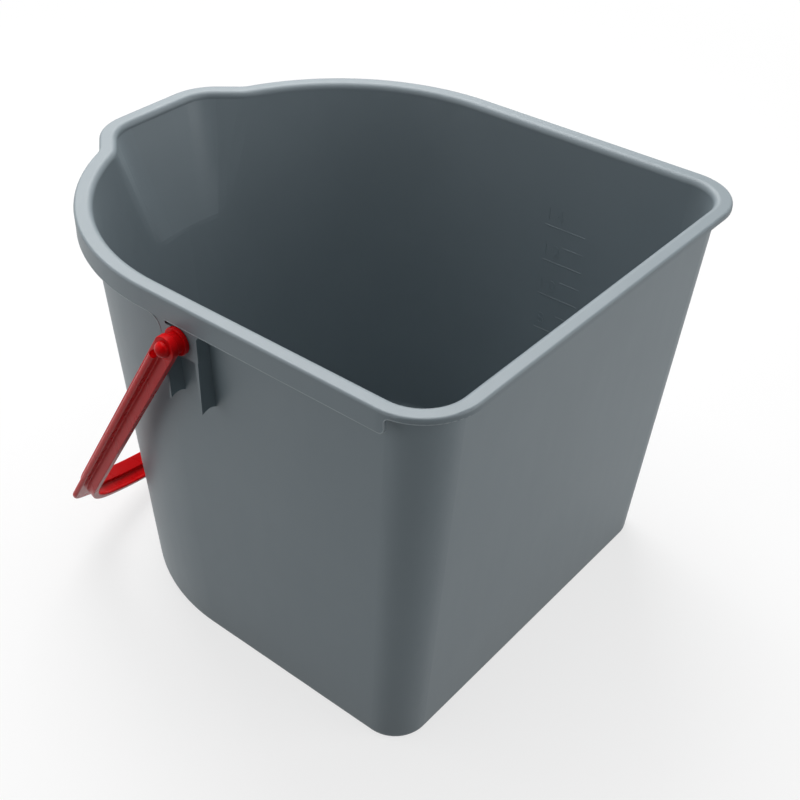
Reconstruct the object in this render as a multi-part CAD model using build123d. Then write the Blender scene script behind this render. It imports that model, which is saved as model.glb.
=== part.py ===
from build123d import *
from math import asin, atan2, cos, degrees, hypot, radians, sin, sqrt, tan
import os

# A round-fronted plastic bucket with a pouring spout and a swinging bail.
# Millimetres. +X is to the side, +Y to the flat back, -Y to the spout, +Z up.
# The origin is on the floor, under the middle of the rim's width and length.

# Tub, overall
RIM_WIDTH = 300.0
LENGTH = 357.0
HEIGHT = 263.0
WALL = 2.8
FLOOR = 4.0
SIDE_DRAFT = 11.0
BACK_DRAFT = 25.0
FRONT_DRAFT = 16.5
BACK_CORNER_RADIUS = 27.0
BASE_CORNER_RADIUS = 22.0
BASE_EDGE_RADIUS = 4.0
FLOOR_EDGE_RADIUS = 7.0
FOOT_WIDTH = 18.0
FOOT_HEIGHT = 1.5

# Pouring spout
SPOUT_REACH = 13.0
SPOUT_LIP_WIDTH = 80.0
SPOUT_ROOT_WIDTH = 125.0
SPOUT_LIP_RADIUS = 35.0
SPOUT_ROOT_RADIUS = 15.0
SPOUT_DEPTH = 82.0
SPOUT_TOE_SHARE = 0.6
SPOUT_BITE = 0.15
SPOUT_BLEND_RADIUS = 20.0

# Rim and its turned-down skirt
RIM_OVERHANG = 8.0
RIM_TOP = 3.0
RIM_INNER_RADIUS = 4.0
RIM_OUTER_RADIUS = 1.6
RIM_LAND = 0.6
SKIRT_WALL = 2.5
SKIRT_DEPTH = 13.5
BACK_LIP_DEPTH = 3.5
SKIRT_STEP_RADIUS = 3.0
SKIRT_END_BEFORE_BACK = 30.0

# Pivot ears and fins
PIVOT_BEHIND_ROUND = 26.0
PIVOT_DROP = 22.0
EAR_WIDTH = 27.0
EAR_BELOW_PIVOT = 9.5
EAR_RECESS = 0.4
EAR_FRONT_RADIUS = 9.0
EAR_REAR_RADIUS = 4.0
EAR_FOOT_RADIUS = 1.2
WINDOW_WIDTH = 12.0
WINDOW_HEIGHT = 2.2
WINDOW_FORWARD = 3.5
FIN_SPACING = 24.0
FIN_TOP_THICKNESS = 3.0
FIN_FOOT_THICKNESS = 1.2
FIN_DROP = 65.0
FIN_SCALLOP_RADIUS = 8.0

# Bail
GRIP_REACH = 280.0
GRIP_BOW = 54.0
ARM_STANDOFF = 8.0
GRIP_SET_IN = 12.0
BAIL_CORNER_RADIUS = 60.0
RIB_CORNER_RADIUS = 20.0
BAIL_WIDTH = 14.3
GRIP_EXTRA = 3.5
BAIL_PLATE = 4.4
RIB_THICKNESS = 3.8
RIB_HEIGHT = 5.6
RIB_SHIFT = 2.0
RIB_START = 6.5
RIB_EDGE_RADIUS = 1.7
CHANNEL_WIDTH = 6.8
CHANNEL_DEPTH = 2.6
CHANNEL_SHIFT = 1.6
BAIL_EDGE_RADIUS = 0.6
REST_GAP = 0.4

# Bail pivots
PIN_RADIUS = 5.0
PIN_CLEARANCE = 0.08
SIDE_CLEARANCE = 0.35
COLLAR_RADIUS = 8.2
COLLAR_THICKNESS = 2.4
NECK_RADIUS = 6.2
DOME_RADIUS = 4.7
HEAD_RADIUS = 6.3
HEAD_THICKNESS = 1.8
SNAP_SLOT = 1.6

# Values that follow from the sizes above
RIM_HALF = RIM_WIDTH / 2
WALL_HALF = RIM_HALF - RIM_OVERHANG
BACK_RIM_Y = LENGTH / 2
LIP_Y = -LENGTH / 2
ROUND_FRONT_Y = LIP_Y + SPOUT_REACH
ROUND_CENTRE_Y = ROUND_FRONT_Y + RIM_HALF
PIVOT_Y = ROUND_CENTRE_Y + PIVOT_BEHIND_ROUND
PIVOT_Z = HEIGHT - PIVOT_DROP
WALL_TOP_Z = HEIGHT - RIM_INNER_RADIUS - RIM_LAND
SKIRT_FOOT_Z = HEIGHT - SKIRT_DEPTH
EAR_FACE_X = RIM_HALF - EAR_RECESS
EAR_BACK_X = RIM_HALF - SKIRT_WALL
ARM_HALF = RIM_HALF + ARM_STANDOFF
GRIP_HALF = RIM_HALF - GRIP_SET_IN


def at_height(base, top, z):
    """A size that runs evenly from the base to the upright land under the rim."""
    return base + (top - base) * z / WALL_TOP_Z


def half_width(z):
    """Half the outer width of the wall at a height."""
    return at_height(WALL_HALF - SIDE_DRAFT, WALL_HALF, z)


def front_y(z):
    """Where the wall's round front stands at a height."""
    top = ROUND_FRONT_Y + RIM_OVERHANG
    return at_height(top + FRONT_DRAFT, top, z)


def back_y(z):
    """Where the wall's flat back stands at a height."""
    top = BACK_RIM_Y - RIM_OVERHANG
    return at_height(top - BACK_DRAFT, top, z)


def d_outline(z, inset=0.0):
    """The wall's plan at a height, moved in by inset: straight sides, flat back, round front."""
    half = half_width(z) - inset
    centre = front_y(z) + half_width(z)
    back = back_y(z) - inset
    corner = at_height(BASE_CORNER_RADIUS, BACK_CORNER_RADIUS, z) - inset
    side = Line((half, centre), (half, back - corner))
    right = JernArc(side @ 1, side % 1, corner, 90)
    rear = Line(right @ 1, (corner - half, back))
    left = JernArc(rear @ 1, rear % 1, corner, 90)
    other = Line(left @ 1, (-half, centre))
    round_left = JernArc(other @ 1, other % 1, half, 90)
    round_right = JernArc(round_left @ 1, round_left % 1, half, 90)
    return Pos(0, 0, z) * make_face([side, right, rear, left, other, round_left, round_right])


def drafted(z, inset, edge_radius):
    """The solid from a height up to the rim's land that follows the drafted walls."""
    body = loft([d_outline(z, inset), d_outline(WALL_TOP_Z, inset)], ruled=True)
    return fillet(body.faces().sort_by(Axis.Z)[0].edges(), edge_radius)


def spouted(inset, bite=0.0):
    """The rim's plan moved in by inset, its spout blended into a round front set back by bite."""
    root_half = SPOUT_ROOT_WIDTH / 2
    root_y = ROUND_CENTRE_Y - sqrt(RIM_HALF ** 2 - root_half ** 2)
    flank_x = root_half - SPOUT_LIP_WIDTH / 2
    flank_y = root_y - LIP_Y
    lip = SPOUT_LIP_WIDTH / 2 - inset * tan(atan2(flank_y, flank_x) / 2)
    lip_y = LIP_Y + inset
    side = lip + 1.5 * flank_x
    side_y = lip_y + 1.5 * flank_y
    spout = make_face(Polyline(
        (-lip, lip_y), (lip, lip_y), (side, side_y), (side, ROUND_CENTRE_Y),
        (-side, ROUND_CENTRE_Y), (-side, side_y), (-lip, lip_y)))
    plan = Pos(0, 0, -WALL_TOP_Z) * d_outline(WALL_TOP_Z, inset + bite - RIM_OVERHANG) + spout
    plan = fillet(plan.vertices().sort_by(Axis.Y)[2:4], SPOUT_ROOT_RADIUS + inset)
    return fillet(plan.vertices().sort_by(Axis.Y)[:2], SPOUT_LIP_RADIUS - inset)


def on_round_front(x, z, inset):
    """Where a point stands on the wall's round front."""
    radius = half_width(z) - inset
    return (x, front_y(z) + half_width(z) - sqrt(radius ** 2 - x ** 2))


def spout_wedge(inset):
    """The spout below the rim, which narrows and runs out into the round front at its foot."""
    outline = spouted(inset + RIM_OVERHANG, SPOUT_BITE).edges().sort_by(Axis.Y)[:7]
    corners = sorted((v for edge in outline for v in edge.vertices()), key=lambda v: v.X)
    top = make_face([*outline, Line(tuple(corners[0]), tuple(corners[-1]))])
    foot_z = HEIGHT - SPOUT_DEPTH
    spots = [corner.X * SPOUT_TOE_SHARE for corner in (corners[0], *corners[1::2])]
    toe = [
        ThreePointArc(*(on_round_front(x, foot_z, inset + SPOUT_BITE) for x in (a, (a + b) / 2, b)))
        for a, b in zip(spots, spots[1:])]
    foot = make_face([*toe, Line(toe[-1] @ 1, toe[0] @ 0)])
    return loft([Pos(0, 0, foot_z) * foot, Pos(0, 0, WALL_TOP_Z) * top], ruled=True)


def spouted_walls(z, inset, edge_radius):
    """The drafted walls from a height up, with the spout blended in and the upright land at the rim."""
    walls = drafted(z, inset, edge_radius) + spout_wedge(inset)
    creases = []
    for edge in walls.edges():
        middle = edge @ 0.5
        if HEIGHT - SPOUT_DEPTH < middle.Z < WALL_TOP_Z - RIM_LAND and middle.Y < ROUND_CENTRE_Y:
            _, wall_y = on_round_front(middle.X, middle.Z, inset)
            if abs(middle.Y - wall_y) < SPOUT_BITE:
                creases.append(edge)
    walls = fillet(creases, SPOUT_BLEND_RADIUS)
    land = extrude(spouted(inset + RIM_OVERHANG), HEIGHT - WALL_TOP_Z)
    return walls + Pos(0, 0, WALL_TOP_Z) * land


def skirted_rim():
    """The rim's flat top with its skirt, which is deep at the sides and front and shallow at the back."""
    block = Pos(0, 0, SKIRT_FOOT_Z) * extrude(spouted(0), SKIRT_DEPTH)
    hollow = Pos(0, 0, SKIRT_FOOT_Z) * extrude(spouted(SKIRT_WALL), SKIRT_DEPTH - RIM_TOP)
    return block - hollow - back_relief()


def back_relief():
    """What is cut from under the rim's back, with a rounded step where the deep skirt ends."""
    step_y = BACK_RIM_Y - SKIRT_END_BEFORE_BACK
    low_z = SKIRT_FOOT_Z
    high_z = HEIGHT - BACK_LIP_DEPTH
    r = SKIRT_STEP_RADIUS
    profile = make_face(
        Line((step_y - r, low_z - r), (step_y - r, low_z))
        + JernArc((step_y - r, low_z), (1, 0), r, 90)
        + Line((step_y, low_z + r), (step_y, high_z - r))
        + JernArc((step_y, high_z - r), (0, 1), r, -90)
        + Polyline((step_y + r, high_z), (BACK_RIM_Y + r, high_z), (BACK_RIM_Y + r, low_z - r),
                   (step_y - r, low_z - r)))
    return extrude(Plane.YZ * profile, RIM_WIDTH, both=True)


def ear():
    """The plate on the +X side that carries the bail's pin, flush with the skirt but for a fine step."""
    foot_z = PIVOT_Z - EAR_BELOW_PIVOT
    top_z = SKIRT_FOOT_Z + EAR_REAR_RADIUS
    front = PIVOT_Y - EAR_WIDTH / 2
    rear = PIVOT_Y + EAR_WIDTH / 2
    strip_front = front - EAR_FRONT_RADIUS - EAR_FOOT_RADIUS
    strip_rear = rear + EAR_REAR_RADIUS + EAR_FOOT_RADIUS
    profile = make_face(Polyline(
        (front, foot_z), (rear, foot_z), (rear, SKIRT_FOOT_Z), (strip_rear, SKIRT_FOOT_Z),
        (strip_rear, top_z), (strip_front, top_z), (strip_front, SKIRT_FOOT_Z),
        (front, SKIRT_FOOT_Z), (front, foot_z)))
    for y, z, radius in ((front, SKIRT_FOOT_Z, EAR_FRONT_RADIUS), (rear, SKIRT_FOOT_Z, EAR_REAR_RADIUS),
                         (front, foot_z, EAR_FOOT_RADIUS), (rear, foot_z, EAR_FOOT_RADIUS)):
        corner = [v for v in profile.vertices() if hypot(v.X - y, v.Y - z) < 0.01]
        profile = fillet(corner, radius)
    return extrude(Plane.YZ.offset(EAR_BACK_X) * profile, EAR_FACE_X - EAR_BACK_X)


def ear_openings():
    """The pin's bore through the +X ear, and the small moulding window above it."""
    depth = RIM_HALF - EAR_BACK_X + 2
    start = Plane.YZ.offset(EAR_BACK_X - 1)
    bore = extrude(start * (Pos(PIVOT_Y, PIVOT_Z) * Circle(PIN_RADIUS + PIN_CLEARANCE)), depth)
    window_z = SKIRT_FOOT_Z - WINDOW_HEIGHT / 2
    window_place = Pos(PIVOT_Y - WINDOW_FORWARD, window_z)
    window = extrude(start * (window_place * Rectangle(WINDOW_WIDTH, WINDOW_HEIGHT)), depth)
    return bore + window


def fin(y):
    """A fin on the +X side that ties wall, skirt and ear together, thin and hollowed at its foot."""
    ends = []
    foot_z = HEIGHT - FIN_DROP
    for z, thickness in ((foot_z, FIN_FOOT_THICKNESS), (HEIGHT - RIM_TOP / 2, FIN_TOP_THICKNESS)):
        root_x = half_width(z) - WALL / 2
        ends.append(Pos((root_x + EAR_FACE_X) / 2, y, z) * Rectangle(EAR_FACE_X - root_x, thickness))
    half_depth = (EAR_FACE_X - half_width(foot_z)) / 2
    hollow_z = foot_z - sqrt(FIN_SCALLOP_RADIUS ** 2 - half_depth ** 2)
    hollow = Pos(EAR_FACE_X - half_depth, y, hollow_z) * Rot(90, 0, 0) * Cylinder(
        FIN_SCALLOP_RADIUS, FIN_TOP_THICKNESS)
    return loft(ends, ruled=True) - hollow


def bucket_body():
    """The grey tub in one piece."""
    side_parts = ear() + fin(PIVOT_Y - FIN_SPACING / 2) + fin(PIVOT_Y + FIN_SPACING / 2)
    shell = spouted_walls(0, 0, BASE_EDGE_RADIUS)
    shell += skirted_rim()
    shell += side_parts
    shell += mirror(side_parts, Plane.YZ)
    shell -= spouted_walls(FLOOR, WALL, FLOOR_EDGE_RADIUS)
    shell -= extrude(d_outline(0, FOOT_WIDTH), FOOT_HEIGHT)
    shell -= ear_openings()
    shell -= mirror(ear_openings(), Plane.YZ)
    top = shell.faces().sort_by(Axis.Z)[-1]
    shell = fillet(top.outer_wire().edges(), RIM_OUTER_RADIUS)
    top = shell.faces().filter_by(Plane.XY).sort_by(Axis.Z)[-1]
    return fillet(top.inner_wires()[0].edges(), RIM_INNER_RADIUS)


def rest_angle():
    """Degrees from straight down at which the bail's grip comes to lie against the tub's round front."""
    reach = GRIP_REACH - BAIL_PLATE / 2
    side = BAIL_WIDTH / 2
    lean = -FRONT_DRAFT / WALL_TOP_Z
    gap = REST_GAP * hypot(1, lean)
    across = reach - lean * side
    along = side + lean * reach
    need = gap + PIVOT_Y - front_y(0) - lean * PIVOT_Z
    return degrees(atan2(along, across) + asin(need / hypot(across, along)))


def bail_path(out, corner_radius):
    """A line along the bail in its own plane, moved outward from its middle: X to the side, Y away."""
    foot = Vector(ARM_HALF, 0)
    corner = Vector(GRIP_HALF, GRIP_REACH - GRIP_BOW)
    middle_radius = (corner.X ** 2 + GRIP_BOW ** 2) / (2 * GRIP_BOW)
    grip_centre = Vector(0, GRIP_REACH - middle_radius)
    along = (corner - foot).normalized()
    inward = Vector(-along.Y, along.X)
    start = foot - inward * out
    grip_radius = middle_radius + out
    from_centre = start + inward * corner_radius - grip_centre
    ahead = from_centre.dot(along)
    inside = grip_radius - corner_radius
    run = sqrt(ahead ** 2 - from_centre.dot(from_centre) + inside ** 2) - ahead
    to_corner = (from_centre + along * run).normalized()
    grip_half = degrees(atan2(to_corner.X, to_corner.Y))
    turn = 180 - grip_half - degrees(atan2(along.Y, along.X))
    arm = Line(start, start + along * run)
    bend = JernArc(arm @ 1, arm % 1, corner_radius, turn)
    grip = JernArc(bend @ 1, bend % 1, grip_radius, 2 * grip_half)
    other_bend = JernArc(grip @ 1, grip % 1, corner_radius, turn)
    other_arm = Line(other_bend @ 1, (-start.X, start.Y))
    return [arm, bend, grip, other_bend, other_arm]


def swept(section, path):
    """A section carried along a path: its X outward from the bail's loop, its Y to the loop's front."""
    tangent = path[0] % 0
    outward = Vector(tangent.Y, -tangent.X)
    return sweep(Plane(path[0] @ 0, x_dir=outward, z_dir=tangent) * section, path=Curve() + path)


def bail_plate():
    """The bail's cross plate with a shallow channel along its inside, wider at the grip."""
    plate = Rectangle(BAIL_PLATE, BAIL_WIDTH)
    channel_x = (CHANNEL_DEPTH - BAIL_PLATE) / 2
    channel = Pos(channel_x, -CHANNEL_SHIFT) * Rectangle(CHANNEL_DEPTH, CHANNEL_WIDTH)
    section = plate - channel
    path = bail_path(0, BAIL_CORNER_RADIUS)
    bar = swept(fillet(section.vertices(), BAIL_EDGE_RADIUS), path)
    extra = Pos(0, BAIL_WIDTH / 2) * Rectangle(BAIL_PLATE, 2 * GRIP_EXTRA)
    pad = swept(extra, path[2:3])
    shoulders = pad.edges().filter_by(GeomType.LINE).sort_by(Axis.Z)[:2]
    pad = fillet(shoulders, GRIP_EXTRA)
    rims = [edge for edge in pad.edges() if edge.bounding_box().min.Z < -BAIL_WIDTH / 2 - BAIL_EDGE_RADIUS
            and edge.geom_type != GeomType.LINE]
    return bar + fillet(rims, BAIL_EDGE_RADIUS)


def bail_rib():
    """The rib along the bail's outside, which stands out further at the bends."""
    root = bail_path(CHANNEL_DEPTH / 2, BAIL_CORNER_RADIUS + CHANNEL_DEPTH / 2)
    crest = bail_path(BAIL_PLATE / 2 + RIB_HEIGHT, RIB_CORNER_RADIUS)
    ends = [Line(root[0] @ 0, crest[0] @ 0), Line(root[-1] @ 1, crest[-1] @ 1)]
    rib = extrude(make_face([*root, *crest, *ends]), RIB_THICKNESS / 2, both=True)
    middles = [edge @ 0.5 for edge in crest]
    edges = [edge for edge in rib.edges()
             if any(hypot(m.X - (edge @ 0.5).X, m.Y - (edge @ 0.5).Y) < 0.01 for m in middles)]
    return Pos(0, 0, -RIB_SHIFT) * fillet(edges, RIB_EDGE_RADIUS)


def ribbed_plate():
    """The bail's plate and rib in one, with a fine fillet where they meet."""
    bar = bail_plate() + bail_rib()
    face = BAIL_PLATE / 2
    spots = [line @ 0.5 for line in bail_path(face, BAIL_CORNER_RADIUS + face)]
    joins = []
    for edge in bar.edges():
        middle = edge @ 0.5
        beside_rib = abs(abs(middle.Z + RIB_SHIFT) - RIB_THICKNESS / 2) < 0.01
        if beside_rib and any(hypot(spot.X - middle.X, spot.Y - middle.Y) < 1 for spot in spots):
            joins.append(edge)
    return fillet(joins, BAIL_EDGE_RADIUS)


def pivot():
    """The turned end of the bail on the +X side: split pin with its head, collar, neck, boss and dome."""
    head_out = EAR_BACK_X - SIDE_CLEARANCE
    head_in = head_out - HEAD_THICKNESS
    collar_in = EAR_FACE_X + SIDE_CLEARANCE
    collar_out = collar_in + COLLAR_THICKNESS
    boss_in = ARM_HALF - BAIL_PLATE / 2
    boss_out = ARM_HALF + BAIL_PLATE / 2
    dome_middle = DOME_RADIUS * sqrt(0.5)
    outline = Polyline(
        (head_in, 0), (head_in, PIN_RADIUS), (head_out, HEAD_RADIUS), (head_out, PIN_RADIUS),
        (collar_in, PIN_RADIUS), (collar_in, COLLAR_RADIUS), (collar_out, COLLAR_RADIUS),
        (collar_out, NECK_RADIUS), (boss_in, NECK_RADIUS), (boss_in, BAIL_WIDTH / 2),
        (boss_out, BAIL_WIDTH / 2), (boss_out, DOME_RADIUS))
    dome = ThreePointArc(
        (boss_out, DOME_RADIUS), (boss_out + dome_middle, dome_middle), (boss_out + DOME_RADIUS, 0))
    profile = make_face(outline + dome + Line((boss_out + DOME_RADIUS, 0), (head_in, 0)))
    rounded = [v for v in profile.vertices()
               if v.X > collar_in + 0.01 and v.Y > NECK_RADIUS + 0.01]
    turned = revolve(fillet(rounded, BAIL_EDGE_RADIUS), Axis.X)
    slot_depth = collar_in - head_in
    slot = Pos(head_in + slot_depth / 2, 0, 0) * Box(slot_depth, 2 * HEAD_RADIUS + 2, SNAP_SLOT)
    return Pos(0, PIVOT_Y, PIVOT_Z) * (turned - slot)


def bail_handle():
    """The red bail, hanging against the tub's front."""
    angle = radians(rest_angle())
    hanging = Plane((0, PIVOT_Y, PIVOT_Z), x_dir=(1, 0, 0), z_dir=(0, cos(angle), -sin(angle)))
    bar = hanging * ribbed_plate()
    end = pivot()
    dome_room = Pos(0, PIVOT_Y, PIVOT_Z) * extrude(
        Plane.YZ.offset(ARM_HALF + BAIL_PLATE / 2) * Circle(RIB_START), 2 * RIB_HEIGHT)
    for piece in (dome_room, mirror(dome_room, Plane.YZ)):
        bar -= piece
    return bar + end + mirror(end, Plane.YZ)


os.makedirs("parts", exist_ok=True)
export_step(bucket_body(), "parts/bucket_body.step")
export_step(bail_handle(), "parts/bail_handle.step")
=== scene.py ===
"""A grey moulded bucket with a pouring spout and a red bail, dressed and lit as a studio picture."""

import logging
import math
from collections.abc import Sequence
from dataclasses import dataclass
from enum import Enum
from typing import Any

import bmesh
import bpy
from mathutils import Matrix, Vector


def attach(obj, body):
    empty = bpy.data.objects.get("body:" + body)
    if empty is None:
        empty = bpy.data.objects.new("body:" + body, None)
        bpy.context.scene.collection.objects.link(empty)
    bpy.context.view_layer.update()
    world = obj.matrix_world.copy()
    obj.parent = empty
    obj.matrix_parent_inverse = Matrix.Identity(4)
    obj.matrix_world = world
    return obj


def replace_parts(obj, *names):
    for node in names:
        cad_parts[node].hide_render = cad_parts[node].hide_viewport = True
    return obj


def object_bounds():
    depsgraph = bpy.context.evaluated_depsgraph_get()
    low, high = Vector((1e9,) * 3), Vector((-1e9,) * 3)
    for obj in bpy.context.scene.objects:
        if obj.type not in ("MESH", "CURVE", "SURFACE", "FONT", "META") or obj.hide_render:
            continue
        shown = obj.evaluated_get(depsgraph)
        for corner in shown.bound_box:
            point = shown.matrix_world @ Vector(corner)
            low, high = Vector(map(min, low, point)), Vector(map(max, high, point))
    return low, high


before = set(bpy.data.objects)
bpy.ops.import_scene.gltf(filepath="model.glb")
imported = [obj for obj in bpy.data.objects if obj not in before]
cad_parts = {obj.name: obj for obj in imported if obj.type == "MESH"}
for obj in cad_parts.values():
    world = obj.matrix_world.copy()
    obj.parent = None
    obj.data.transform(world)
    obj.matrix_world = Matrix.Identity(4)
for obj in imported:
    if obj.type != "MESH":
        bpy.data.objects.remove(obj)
CAD_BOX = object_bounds()

MM = 0.001
TUB_NODE = "bucket_body"
BAIL_NODE = "bail_handle"
SECTION_SIDES = 12
LOG = logging.getLogger("bucket")


class Body(Enum):
    """The moving bodies that pieces ride on."""

    TUB = "tub"
    BAIL = "bail"


class Slot(Enum):
    """The names of the two material slots, grey and red."""

    GREY = "grey_polypropylene"
    RED = "red_polypropylene"


class Side(Enum):
    """The two sides of the tub, each with the sign of its X."""

    LEFT = -1
    RIGHT = 1


def linear(hex_colour: str) -> tuple[float, float, float, float]:
    """Turns an sRGB hex colour into linear values.

    Args:
        hex_colour: six hex digits after a hash sign.

    Returns:
        Red, green and blue as linear light, and an alpha of 1.
    """
    values = [int(hex_colour[i:i + 2], 16) / 255 for i in (1, 3, 5)]
    light = [v / 12.92 if v <= 0.04045 else ((v + 0.055) / 1.055) ** 2.4 for v in values]
    return (light[0], light[1], light[2], 1.0)


def add_node(tree: bpy.types.NodeTree, kind: str, inputs: dict[str | int, Any] | None = None,
             **settings: Any) -> bpy.types.Node:
    """Adds a node with its settings, values and links.

    Args:
        tree: the node tree that gets the node.
        kind: the node's type name.
        inputs: for an input's name or number, a value or the output socket that feeds it.
        **settings: the node's own properties.

    Returns:
        The new node.
    """
    node = tree.nodes.new(kind)
    for name, value in settings.items():
        setattr(node, name, value)
    for key, value in (inputs or {}).items():
        if isinstance(value, bpy.types.NodeSocket):
            tree.links.new(value, node.inputs[key])
        else:
            node.inputs[key].default_value = value
    return node


def geometry_tree(name: str, sizes: dict[str, str]) -> tuple[bpy.types.NodeTree, bpy.types.Node]:
    """Starts a Geometry Nodes tree with named inputs and one geometry output.

    Args:
        name: the tree's name.
        sizes: each input's name and socket type.

    Returns:
        The tree and its Group Input node.
    """
    tree = bpy.data.node_groups.new(name, "GeometryNodeTree")
    for label, socket_type in sizes.items():
        tree.interface.new_socket(name=label, in_out="INPUT", socket_type=socket_type)
    tree.interface.new_socket(name="Geometry", in_out="OUTPUT", socket_type="NodeSocketGeometry")
    return tree, add_node(tree, "NodeGroupInput")


def kept_mesh(carrier: bpy.types.Object, name: str) -> bpy.types.Mesh:
    """Keeps what a carrier shows as a plain mesh, and removes the carrier with its modifiers.

    Args:
        carrier: a scratch object that is linked to the scene.
        name: the mesh's name.

    Returns:
        The finished mesh, which no modifier or tree feeds any longer.
    """
    depsgraph = bpy.context.evaluated_depsgraph_get()
    mesh = bpy.data.meshes.new_from_object(carrier.evaluated_get(depsgraph), depsgraph=depsgraph)
    carrier.modifiers.clear()
    spare = carrier.data
    bpy.data.objects.remove(carrier)
    (bpy.data.curves if isinstance(spare, bpy.types.Curve) else bpy.data.meshes).remove(spare)
    mesh.name = name
    return mesh


def shares(steps: int) -> list[float]:
    """Gives evenly spaced shares from 0 to 1, both ends included."""
    return [i / steps for i in range(steps + 1)]


def grown_mesh(name: str, tree: bpy.types.NodeTree, values: dict[str, Any],
               paths: Sequence[list[Vector]] = ()) -> bpy.types.Mesh:
    """Runs a Geometry Nodes tree once and keeps its result as a plain mesh.

    Args:
        name: the mesh's name.
        tree: the tree to run.
        values: a value for each named input of the tree.
        paths: the points of the lines that the tree takes as its geometry.

    Returns:
        The finished mesh.
    """
    lines = bpy.data.meshes.new(name + "_carrier")
    points: list[Vector] = []
    edges: list[tuple[int, int]] = []
    for path in paths:
        edges += [(len(points) + i, len(points) + i + 1) for i in range(len(path) - 1)]
        points += path
    lines.from_pydata(points, edges, [])
    carrier = bpy.data.objects.new(name + "_carrier", lines)
    bpy.context.collection.objects.link(carrier)
    modifier = carrier.modifiers.new(name, "NODES")
    modifier.node_group = tree
    for item in tree.interface.items_tree:
        if item.item_type == "SOCKET" and item.in_out == "INPUT" and item.name in values:
            modifier[item.identifier] = values[item.name]
    return kept_mesh(carrier, name)


def place_piece(mesh: bpy.types.Mesh, body: Body) -> bpy.types.Object:
    """Puts a finished mesh into the scene as a piece that rides on a body.

    Args:
        mesh: the piece's mesh, in the object's own frame.
        body: the body that carries the piece.

    Returns:
        The new piece.
    """
    piece = bpy.data.objects.new(mesh.name, mesh)
    bpy.context.collection.objects.link(piece)
    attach(piece, body.value)
    LOG.info("%s: %d faces on %s", piece.name, len(mesh.polygons), body.value)
    return piece


def dress_node(name: str, material: bpy.types.Material) -> None:
    """Gives a carried-over solid its finish.

    Args:
        name: the solid's name.
        material: the finish.
    """
    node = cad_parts[name]
    if not node.material_slots:
        node.data.materials.append(material)
    for entry in node.material_slots:
        entry.material = material
    LOG.info("%s: %s", name, material.name)


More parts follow.
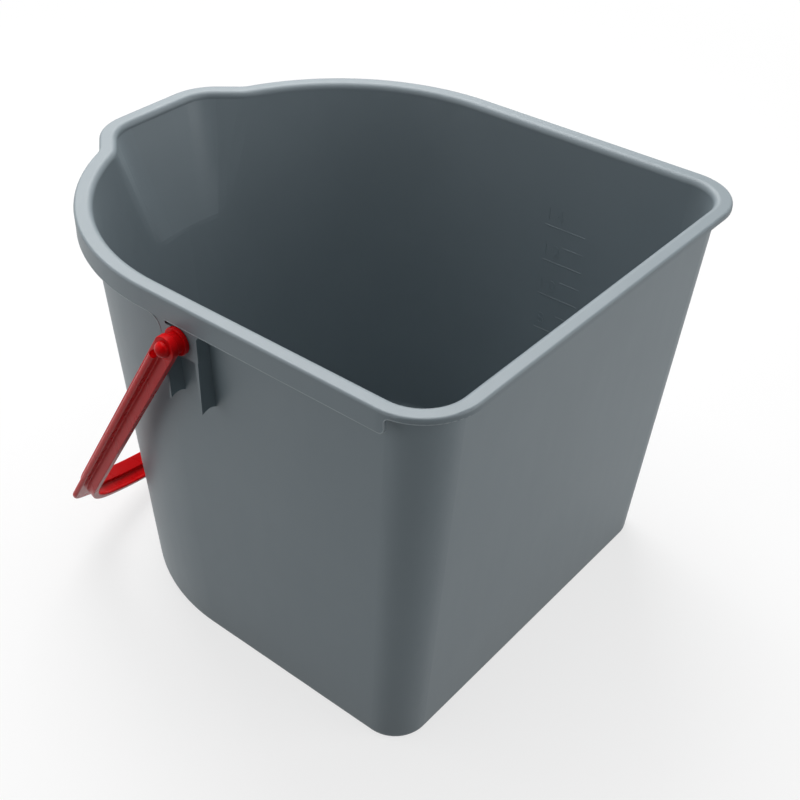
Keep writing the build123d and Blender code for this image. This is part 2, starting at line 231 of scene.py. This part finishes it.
@dataclass(frozen=True)
class MouldedPolypropylene:
    """Injection-moulded polypropylene: a dull satin skin with a fine grain and a soft, broad sheen."""

    name: str
    colour: str
    cloud_colour: str
    wear_colour: str
    roughness: float
    specular: float = 0.5
    cloud_mm: float = 60.0
    cloud_band: tuple[float, float] = (0.3, 0.7)
    cloud_share: float = 0.55
    flow_mm: float = 7.0
    flow_stretch: float = 9.0
    flow_band: tuple[float, float] = (0.25, 0.75)
    flow_shine: float = 0.015
    grain_mm: float = 0.9
    grain_depth_mm: float = 0.012
    grain_strength: float = 0.6
    wear_height_mm: float = 5.0
    wear_band: tuple[float, float] = (0.45, 0.7)
    wear_share: float = 0.6
    ior: float = 1.49

    def material(self) -> bpy.types.Material:
        """Builds the finish.

        Returns:
            A procedural material on Object coordinates, whose patterns are sized in millimetres.
        """
        made = bpy.data.materials.new(self.name)
        made.use_nodes = True
        tree = made.node_tree
        tree.nodes.clear()
        place = add_node(tree, "ShaderNodeTexCoord").outputs["Object"]
        clouds = add_node(tree, "ShaderNodeTexNoise", {
            "Vector": place, "Scale": 1 / (self.cloud_mm * MM), "Detail": 3.0, "Roughness": 0.55})
        along = add_node(tree, "ShaderNodeMapping", {
            "Vector": place, "Scale": (1.0, 1.0, 1 / self.flow_stretch)})
        flow = add_node(tree, "ShaderNodeTexNoise", {
            "Vector": along.outputs["Vector"], "Scale": 1 / (self.flow_mm * MM), "Detail": 4.0})
        # The real grain is finer than the picture's pixels, so it is drawn coarser to show at all.
        grain = add_node(tree, "ShaderNodeTexNoise", {
            "Vector": place, "Scale": 1 / (self.grain_mm * MM), "Detail": 2.0, "Roughness": 0.6})
        cloudy = add_node(tree, "ShaderNodeMapRange", {
            "Value": clouds.outputs["Fac"], "From Min": self.cloud_band[0],
            "From Max": self.cloud_band[1], "To Max": self.cloud_share})
        tinted = add_node(tree, "ShaderNodeMix", {
            "Factor": cloudy.outputs["Result"], 6: linear(self.colour), 7: linear(self.cloud_colour)},
            data_type="RGBA")
        worn = self.wear(tree, place, flow.outputs["Fac"])
        coloured = add_node(tree, "ShaderNodeMix", {
            "Factor": worn, 6: tinted.outputs[2], 7: linear(self.wear_colour)}, data_type="RGBA")
        shine = add_node(tree, "ShaderNodeMapRange", {
            "Value": flow.outputs["Fac"], "From Min": self.flow_band[0], "From Max": self.flow_band[1],
            "To Min": self.roughness - self.flow_shine, "To Max": self.roughness + self.flow_shine})
        bump = add_node(tree, "ShaderNodeBump", {
            "Height": grain.outputs["Fac"], "Distance": self.grain_depth_mm * MM,
            "Strength": self.grain_strength})
        skin = add_node(tree, "ShaderNodeBsdfPrincipled", {
            "Base Color": coloured.outputs[2], "Roughness": shine.outputs["Result"],
            "Normal": bump.outputs["Normal"], "IOR": self.ior, "Specular IOR Level": self.specular})
        add_node(tree, "ShaderNodeOutputMaterial", {"Surface": skin.outputs["BSDF"]})
        return made

    def wear(self, tree: bpy.types.NodeTree, place: bpy.types.NodeSocket,
             streaks: bpy.types.NodeSocket) -> bpy.types.NodeSocket:
        """Adds the pale rubbing where the piece stands on the ground.

        Args:
            tree: the material's tree.
            place: the surface's Object coordinates.
            streaks: a pattern that breaks the rubbing up.

        Returns:
            How worn the surface is, from 0 to 1.
        """
        height = add_node(tree, "ShaderNodeSeparateXYZ", {"Vector": place}).outputs["Z"]
        low = add_node(tree, "ShaderNodeMapRange", {
            "Value": height, "From Max": self.wear_height_mm * MM, "To Min": self.wear_share,
            "To Max": 0.0})
        broken = add_node(tree, "ShaderNodeMapRange", {
            "Value": streaks, "From Min": self.wear_band[0], "From Max": self.wear_band[1]})
        return add_node(tree, "ShaderNodeMath", {
            0: low.outputs["Result"], 1: broken.outputs["Result"]}, operation="MULTIPLY").outputs[0]


@dataclass
class Tub:
    """The grey tub, with a fine bead along the skirt's lower edge whose paler grey is a painted highlight
    on that edge, and partly the thin pale flash that the mould leaves there.
    """

    finish: MouldedPolypropylene
    bead_finish: MouldedPolypropylene
    bead_radius: float = 0.4
    bead_half: float = 149.75
    ear_half: float = 149.4
    bead_back_y: float = 178.05
    bead_corner: float = 34.5
    round_centre_y: float = -15.5
    round_sweep: float = 62.0
    skirt_z: float = 249.75
    lip_z: float = 259.75
    step_y: float = 148.5
    step_radius: float = 3.0
    ear_front_y: float = -3.0
    ear_radius: float = 9.0
    ear_end_z: float = 234.0
    rear_start_y: float = 1.0
    round_steps: int = 32
    shoulder_steps: int = 8
    step_steps: int = 6
    corner_steps: int = 12

    def bead_x(self, y: float) -> float:
        """Gives the bead's distance from the middle, at a place along the straight side or the corner."""
        past = max(0.0, y - self.bead_back_y + self.bead_corner)
        return self.bead_half - self.bead_corner + math.sqrt(self.bead_corner ** 2 - past ** 2)

    def front_bead(self) -> list[tuple[float, float, float]]:
        """Follows the skirt's lower edge along the round front and down the ear's front shoulder.

        Returns:
            The path's points on the right side, in millimetres.
        """
        flat = []
        for share in shares(self.round_steps):
            turn = math.radians(self.round_sweep) * (share - 1)
            flat.append((self.bead_half * math.cos(turn),
                         self.round_centre_y + self.bead_half * math.sin(turn), self.skirt_z))
        for share in shares(self.shoulder_steps):
            turn = math.pi / 2 * share
            flat.append((self.bead_half + (self.ear_half - self.bead_half) * share,
                         self.ear_front_y + self.ear_radius * (math.sin(turn) - 1),
                         self.skirt_z + self.ear_radius * (math.cos(turn) - 1)))
        return flat + [(self.ear_half, self.ear_front_y, self.ear_end_z)]

    def rear_bead(self) -> list[tuple[float, float, float]]:
        """Follows the skirt's lower edge behind the pivot, up the step and along the back's lip.

        Returns:
            The path's points on the right side, in millimetres.
        """
        flat = [(self.bead_half, self.rear_start_y, self.skirt_z)]
        radius = self.step_radius
        for share in shares(self.step_steps):
            turn = math.pi / 2 * share
            y = self.step_y + radius * (math.sin(turn) - 1)
            flat.append((self.bead_x(y), y, self.skirt_z + radius * (1 - math.cos(turn))))
        for share in shares(self.step_steps):
            turn = math.pi / 2 * share
            y = self.step_y + radius * (1 - math.cos(turn))
            flat.append((self.bead_x(y), y, self.lip_z + radius * (math.sin(turn) - 1)))
        first = math.asin((flat[-1][1] - self.bead_back_y) / self.bead_corner + 1)
        for share in shares(self.corner_steps)[1:]:
            turn = first + (math.pi / 2 - first) * share
            flat.append((self.bead_half + self.bead_corner * (math.cos(turn) - 1),
                         self.bead_back_y + self.bead_corner * (math.sin(turn) - 1), self.lip_z))
        return flat + [(0.0, self.bead_back_y, self.lip_z)]

    def bead_tree(self) -> bpy.types.NodeTree:
        """Makes the tree that runs a round bead along a path.

        Returns:
            The tree, whose inputs are the path, the bead's size and its material.
        """
        tree, sizes = geometry_tree("skirt_bead", {
            "Path": "NodeSocketGeometry", "Bead Radius": "NodeSocketFloat",
            "Material": "NodeSocketMaterial"})
        path = add_node(tree, "GeometryNodeMeshToCurve", {"Mesh": sizes.outputs["Path"]})
        section = add_node(tree, "GeometryNodeCurvePrimitiveCircle", {
            "Resolution": SECTION_SIDES, "Radius": sizes.outputs["Bead Radius"]})
        swept = add_node(tree, "GeometryNodeCurveToMesh", {
            "Curve": path.outputs["Curve"], "Profile Curve": section.outputs["Curve"],
            "Fill Caps": True})
        real = add_node(tree, "GeometryNodeRealizeInstances", {"Geometry": swept.outputs["Mesh"]})
        coated = add_node(tree, "GeometryNodeSetMaterial", {
            "Geometry": real.outputs["Geometry"], "Material": sizes.outputs["Material"]})
        add_node(tree, "NodeGroupOutput", {"Geometry": coated.outputs["Geometry"]})
        return tree

    def build(self) -> None:
        """Dresses the tub and lays a bead along each side of its skirt."""
        dress_node(TUB_NODE, self.finish.material())
        # The bead's paler grey is a painted highlight along the skirt's lower edge, and partly the mould's
        # thin pale flash.
        material = self.bead_finish.material()
        tree = self.bead_tree()
        for side in Side:
            paths = [[Vector((x * side.value, y, z)) * MM for x, y, z in flat]
                     for flat in (self.front_bead(), self.rear_bead())]
            mesh = grown_mesh(f"skirt_bead_{side.name.lower()}", tree, {
                "Bead Radius": self.bead_radius * MM, "Material": material}, paths)
            mesh.shade_smooth()
            place_piece(mesh, Body.TUB)


@dataclass
class LitreScale:
    """The raised litre marks and their numbers on the inside of the left wall."""

    finish: MouldedPolypropylene
    first_litre: int = 8
    last_litre: int = 14
    first_height: float = 120.2
    litre_rise: float = 13.6
    rise_loss: float = 0.15
    long_mark: float = 31.0
    short_mark: float = 15.0
    marks_end_y: float = 77.0
    ridge_radius: float = 0.25
    digit_height: float = 8.5
    digit_relief: float = 0.16
    digit_lift: float = 4.0
    digit_set_in: float = 1.5
    digit_spacing: float = 1.35

    def wall(self) -> Matrix:
        """Finds the inside of the left wall, where the marks are.

        Returns:
            A frame on the wall: X to the back, Y up the wall, Z into the tub, from the height 0.
        """
        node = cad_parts[TUB_NODE]
        middle_y = (self.marks_end_y - self.long_mark / 2) * MM
        hits = []
        for height in (self.first_height, self.first_height + self.litre_rise):
            found, point, _, _ = node.ray_cast(Vector((0.0, middle_y, height * MM)), Vector((-1, 0, 0)))
            if not found:
                raise ValueError("the left wall was not found")
            hits.append(point)
        back = Vector((0.0, 1.0, 0.0))
        up = (hits[1] - hits[0]).normalized()
        start = hits[0] - up * (hits[0].z / up.z)
        start.y = 0.0
        turn = Matrix((back, up, back.cross(up))).transposed().to_4x4()
        return Matrix.Translation(start) @ turn

    def height(self, litre: int) -> float:
        """Gives a mark's height in millimetres, as each litre rises a little less than the last."""
        step = litre - self.first_litre
        return self.first_height + self.litre_rise * step - self.rise_loss * step ** 2 / 2

    def marks_tree(self) -> bpy.types.NodeTree:
        """Makes the tree that sets out ridges up the wall, long and short in turn.

        Returns:
            The tree, whose inputs are the marks' sizes and their material.
        """
        number = "NodeSocketFloat"
        tree, sizes = geometry_tree("litre_marks", {
            "Count": "NodeSocketInt", "First Height": number, "Rise": number, "Rise Loss": number,
            "Long Mark": number, "Short Mark": number, "Marks End": number, "Ridge Radius": number,
            "Material": "NodeSocketMaterial"})
        index = add_node(tree, "GeometryNodeInputIndex").outputs["Index"]
        odd = add_node(tree, "ShaderNodeMath", {0: index, 1: 2.0}, operation="MODULO").outputs[0]
        length = add_node(tree, "ShaderNodeMix", {
            "Factor": odd, 2: sizes.outputs["Long Mark"], 3: sizes.outputs["Short Mark"]},
            data_type="FLOAT").outputs[0]
        half = add_node(tree, "ShaderNodeMath", {0: length, 1: 0.5}, operation="MULTIPLY").outputs[0]
        along = add_node(tree, "ShaderNodeMath", {
            0: sizes.outputs["Marks End"], 1: half}, operation="SUBTRACT").outputs[0]
        slowed = add_node(tree, "ShaderNodeMath", {
            0: index, 1: sizes.outputs["Rise Loss"]}, operation="MULTIPLY").outputs[0]
        rise = add_node(tree, "ShaderNodeMath", {
            0: slowed, 1: -0.5, 2: sizes.outputs["Rise"]}, operation="MULTIPLY_ADD").outputs[0]
        height = add_node(tree, "ShaderNodeMath", {
            0: rise, 1: index, 2: sizes.outputs["First Height"]}, operation="MULTIPLY_ADD").outputs[0]
        spot = add_node(tree, "ShaderNodeCombineXYZ", {"X": along, "Y": height}).outputs[0]
        rows = add_node(tree, "GeometryNodeMeshLine", {
            "Count": sizes.outputs["Count"], "Offset": (0.0, 0.0, 0.0)})
        placed = add_node(tree, "GeometryNodeSetPosition", {
            "Geometry": rows.outputs["Mesh"], "Position": spot})
        line = add_node(tree, "GeometryNodeCurvePrimitiveLine", {
            "Start": (-0.5, 0.0, 0.0), "End": (0.5, 0.0, 0.0)})
        section = add_node(tree, "GeometryNodeCurvePrimitiveCircle", {
            "Resolution": SECTION_SIDES, "Radius": sizes.outputs["Ridge Radius"]})
        ridge = add_node(tree, "GeometryNodeCurveToMesh", {
            "Curve": line.outputs["Curve"], "Profile Curve": section.outputs["Curve"],
            "Fill Caps": True})
        stretch = add_node(tree, "ShaderNodeCombineXYZ", {"X": length, "Y": 1.0, "Z": 1.0}).outputs[0]
        ridges = add_node(tree, "GeometryNodeInstanceOnPoints", {
            "Points": placed.outputs["Geometry"], "Instance": ridge.outputs["Mesh"], "Scale": stretch})
        real = add_node(tree, "GeometryNodeRealizeInstances", {"Geometry": ridges.outputs["Instances"]})
        coated = add_node(tree, "GeometryNodeSetMaterial", {
            "Geometry": real.outputs["Geometry"], "Material": sizes.outputs["Material"]})
        add_node(tree, "NodeGroupOutput", {"Geometry": coated.outputs["Geometry"]})
        return tree

    def number_mesh(self, litre: int, wall: Matrix) -> bpy.types.Mesh:
        """Makes one number that stands a little proud of the wall.

        Args:
            litre: the number.
            wall: the frame on the wall.

        Returns:
            The number's mesh, in its place.
        """
        words = bpy.data.curves.new(f"litre_{litre}", "FONT")
        words.body = str(litre)
        words.space_character = self.digit_spacing
        words.extrude = self.digit_relief / self.digit_height
        carrier = bpy.data.objects.new(words.name, words)
        bpy.context.collection.objects.link(carrier)
        mesh = kept_mesh(carrier, f"litre_number_{litre}")
        low = Vector([min(v.co[i] for v in mesh.vertices) for i in range(3)])
        tall = max(v.co.y for v in mesh.vertices) - low.y
        scale = self.digit_height * MM / tall
        left = (self.marks_end_y - self.long_mark + self.digit_set_in) * MM
        foot = (self.height(litre) + self.digit_lift) * MM
        mesh.transform(Matrix.Translation((-low.x, -low.y, 0.0)))
        mesh.transform(wall @ Matrix.Translation((left, foot, 0.0)) @ Matrix.Scale(scale, 4))
        return mesh

    def build(self) -> None:
        """Lays the marks and the numbers on the wall."""
        wall = self.wall()
        material = self.finish.material()
        marks = grown_mesh("litre_marks", self.marks_tree(), {
            "Count": self.last_litre - self.first_litre + 1, "First Height": self.first_height * MM,
            "Rise": self.litre_rise * MM, "Rise Loss": self.rise_loss * MM,
            "Long Mark": self.long_mark * MM, "Short Mark": self.short_mark * MM,
            "Marks End": self.marks_end_y * MM, "Ridge Radius": self.ridge_radius * MM,
            "Material": material})
        marks.transform(wall)
        place_piece(marks, Body.TUB)
        for litre in range(self.first_litre, self.last_litre + 1, 2):
            mesh = self.number_mesh(litre, wall)
            mesh.materials.clear()
            mesh.materials.append(material)
            place_piece(mesh, Body.TUB)


@dataclass
class Bail:
    """The red bail, ribbed outside and channelled inside, on its two pivots."""

    finish: MouldedPolypropylene
    weld_mm: float = 0.001
    sharp_degrees: float = 40.0
    flatness: int = 80

    def shaded_mesh(self) -> bpy.types.Mesh:
        """Copies the solid's mesh and shades it anew, so that its flats stay flat beside the fine fillets.

        Returns:
            The copy, in the object's own frame.
        """
        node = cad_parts[BAIL_NODE]
        made = bmesh.new()
        made.from_mesh(node.data)
        made.transform(node.matrix_world)
        bmesh.ops.remove_doubles(made, verts=made.verts, dist=self.weld_mm * MM)
        mesh = bpy.data.meshes.new("bail_skin")
        made.to_mesh(mesh)
        made.free()
        for layer in [entry for entry in mesh.attributes if entry.name == "custom_normal"]:
            mesh.attributes.remove(layer)
        mesh.shade_smooth()
        mesh.set_sharp_from_angle(angle=math.radians(self.sharp_degrees))
        carrier = bpy.data.objects.new("bail_carrier", mesh)
        bpy.context.collection.objects.link(carrier)
        modifier = carrier.modifiers.new("flats", "WEIGHTED_NORMAL")
        modifier.mode = "FACE_AREA"
        modifier.weight = self.flatness
        modifier.keep_sharp = True
        return kept_mesh(carrier, "bail")

    def build(self) -> None:
        """Puts the newly shaded bail in the place of the solid."""
        mesh = self.shaded_mesh()
        mesh.materials.clear()
        mesh.materials.append(self.finish.material())
        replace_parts(place_piece(mesh, Body.BAIL), BAIL_NODE)


@dataclass(frozen=True)
class Softbox:
    """A square studio lamp that faces the object."""

    name: str
    place: tuple[float, float, float]
    width: float
    watts: float

    def build(self, target: Vector) -> None:
        """Hangs the lamp.

        Args:
            target: the point that the lamp faces.
        """
        lamp = bpy.data.lights.new(self.name, "AREA")
        lamp.shape = "SQUARE"
        lamp.size = self.width
        lamp.energy = self.watts
        holder = bpy.data.objects.new(self.name, lamp)
        holder.location = self.place
        holder.rotation_euler = (target - Vector(self.place)).to_track_quat("-Z", "Y").to_euler()
        bpy.context.collection.objects.link(holder)


@dataclass
class Studio:
    """The pale floor, the soft light round the object and the camera."""

    lamps: tuple[Softbox, ...]
    ambient: float = 0.05
    dark_side: float = 0.2
    dark_band: tuple[float, float] = (0.1, 0.8)
    floor_colour: str = "#F4F4F4"
    bounce_colour: str = "#8C979B"
    floor_size: float = 8.0
    floor_glow: float = 0.72
    fade_start: float = 0.35
    fade_end: float = 1.1
    camera_place: tuple[float, float, float] = (0.5043, 0.4477, 0.6232)
    camera_azimuth: float = 129.23
    camera_elevation: float = 37.27
    camera_roll: float = 0.62
    camera_lens: float = 58.54

    def toward_camera(self) -> Vector:
        """Gives the direction from the object to the camera."""
        turn = math.radians(self.camera_azimuth)
        rise = math.radians(self.camera_elevation)
        return Vector((math.sin(turn) * math.cos(rise), -math.cos(turn) * math.cos(rise), math.sin(rise)))

    def seen(self, tree: bpy.types.NodeTree) -> bpy.types.NodeSocket:
        """Adds the rays that show the background: the camera's own, reflected and refracted ones.

        Args:
            tree: the tree that gets the nodes.

        Returns:
            1 for a ray that shows the background and 0 for one that only lights the object.
        """
        ray = add_node(tree, "ShaderNodeLightPath")
        shown = ray.outputs["Is Camera Ray"]
        for kind in ("Is Glossy Ray", "Is Transmission Ray"):
            shown = add_node(tree, "ShaderNodeMath", {0: shown, 1: ray.outputs[kind]},
                             operation="ADD", use_clamp=True).outputs[0]
        return shown

    def floor(self) -> None:
        """Lays a floor that reads as white to the camera and still takes the object's shadow."""
        made = bpy.data.materials.new("white_paper_sweep")
        made.use_nodes = True
        tree = made.node_tree
        tree.nodes.clear()
        shown = self.seen(tree)
        colour = add_node(tree, "ShaderNodeMix", {
            "Factor": shown, 6: linear(self.bounce_colour), 7: linear(self.floor_colour)},
            data_type="RGBA")
        paper = add_node(tree, "ShaderNodeBsdfDiffuse", {"Color": colour.outputs[2]})
        glow = add_node(tree, "ShaderNodeEmission", {"Color": (1, 1, 1, 1), "Strength": 1.0})
        place = add_node(tree, "ShaderNodeTexCoord").outputs["Object"]
        away = add_node(tree, "ShaderNodeVectorMath", {0: place}, operation="LENGTH").outputs["Value"]
        # Behind the lamps the paper is unlit, so far from the object it only glows.
        faded = add_node(tree, "ShaderNodeMapRange", {
            "Value": away, "From Min": self.fade_start, "From Max": self.fade_end,
            "To Min": self.floor_glow, "To Max": 1.0})
        share = add_node(tree, "ShaderNodeMath", {
            0: shown, 1: faded.outputs["Result"]}, operation="MULTIPLY")
        mixed = add_node(tree, "ShaderNodeMixShader", {
            0: share.outputs[0], 1: paper.outputs[0], 2: glow.outputs[0]})
        add_node(tree, "ShaderNodeOutputMaterial", {"Surface": mixed.outputs[0]})
        half = self.floor_size / 2
        mesh = bpy.data.meshes.new("floor")
        mesh.from_pydata([(-half, -half, 0), (half, -half, 0), (half, half, 0), (-half, half, 0)],
                         [], [(0, 1, 2, 3)])
        mesh.materials.append(made)
        floor = bpy.data.objects.new("floor", mesh)
        bpy.context.collection.objects.link(floor)

    def world(self) -> None:
        """Surrounds the scene with a dim light on a white background, weakest from the camera's side."""
        world = bpy.data.worlds.new("studio")
        bpy.context.scene.world = world
        world.use_nodes = True
        tree = world.node_tree
        tree.nodes.clear()
        towards = add_node(tree, "ShaderNodeVectorMath", {
            0: add_node(tree, "ShaderNodeTexCoord").outputs["Generated"], 1: self.toward_camera()},
            operation="DOT_PRODUCT")
        side = add_node(tree, "ShaderNodeMapRange", {
            "Value": towards.outputs["Value"], "From Min": self.dark_band[0], "From Max": self.dark_band[1],
            "To Min": 1.0, "To Max": self.dark_side})
        level = add_node(tree, "ShaderNodeMix", {
            "Factor": self.seen(tree), 2: self.ambient, 3: 1.0}, data_type="FLOAT")
        dimmed = add_node(tree, "ShaderNodeMath", {
            0: side.outputs["Result"], 1: level.outputs[0]}, operation="MULTIPLY")
        straight = add_node(tree, "ShaderNodeLightPath").outputs["Is Camera Ray"]
        strength = add_node(tree, "ShaderNodeMath", {
            0: dimmed.outputs[0], 1: straight}, operation="MAXIMUM")
        light = add_node(tree, "ShaderNodeBackground", {
            "Color": (1, 1, 1, 1), "Strength": strength.outputs[0]})
        add_node(tree, "ShaderNodeOutputWorld", {"Surface": light.outputs[0]})

    def camera(self) -> None:
        """Sets the camera where the photograph was taken from."""
        data = bpy.data.cameras.new("camera")
        data.lens = self.camera_lens
        holder = bpy.data.objects.new("camera", data)
        facing = (-self.toward_camera()).to_track_quat("-Z", "Y").to_matrix().to_4x4()
        roll = Matrix.Rotation(math.radians(self.camera_roll), 4, "Z")
        holder.matrix_world = Matrix.Translation(self.camera_place) @ facing @ roll
        bpy.context.collection.objects.link(holder)
        bpy.context.scene.camera = holder

    def build(self) -> None:
        """Sets up the floor, the lamps, the surrounding light and the camera."""
        self.floor()
        self.world()
        middle = (CAD_BOX[0] + CAD_BOX[1]) / 2
        for lamp in self.lamps:
            lamp.build(middle)
        self.camera()
        bpy.context.scene.view_settings.view_transform = "Standard"


GREY = MouldedPolypropylene(
    name="moulded_grey_polypropylene", colour="#7B868C", cloud_colour="#808B91", wear_colour="#9EA6AB",
    roughness=0.46)
# A paler grey for the skirt bead: a painted highlight along the skirt's lower edge, and partly the mould's
# thin pale flash.
EDGE_HIGHLIGHT_GREY = MouldedPolypropylene(
    name="grey_polypropylene_painted_edge_highlight", colour="#9CA5AA", cloud_colour="#A3ABB0", wear_colour="#B4BBBF",
    roughness=0.5)
RED = MouldedPolypropylene(
    name="moulded_red_polypropylene", colour="#D80A10", cloud_colour="#DC0F15", wear_colour="#D8504E",
    roughness=0.28, specular=0.08, grain_depth_mm=0.006)
LAMPS = (
    Softbox("rear_softbox", (-0.65, -0.8, 1.4), 1.2, 25.0),
    Softbox("top_softbox", (0.0, 0.0, 1.6), 0.9, 8.5),
    Softbox("left_softbox", (1.4, -1.0, 0.75), 2.2, 14.5),
    Softbox("right_softbox", (-0.6, 1.65, 0.9), 1.2, 11.5),
)


def main() -> None:
    """Builds the bucket's pieces in order and then the studio round them."""
    logging.basicConfig(level=logging.INFO)
    for assembly in (Tub(GREY, EDGE_HIGHLIGHT_GREY), LitreScale(GREY), Bail(RED), Studio(LAMPS)):
        assembly.build()
        LOG.info("%s is built", type(assembly).__name__)


if __name__ == "__main__":
    main()
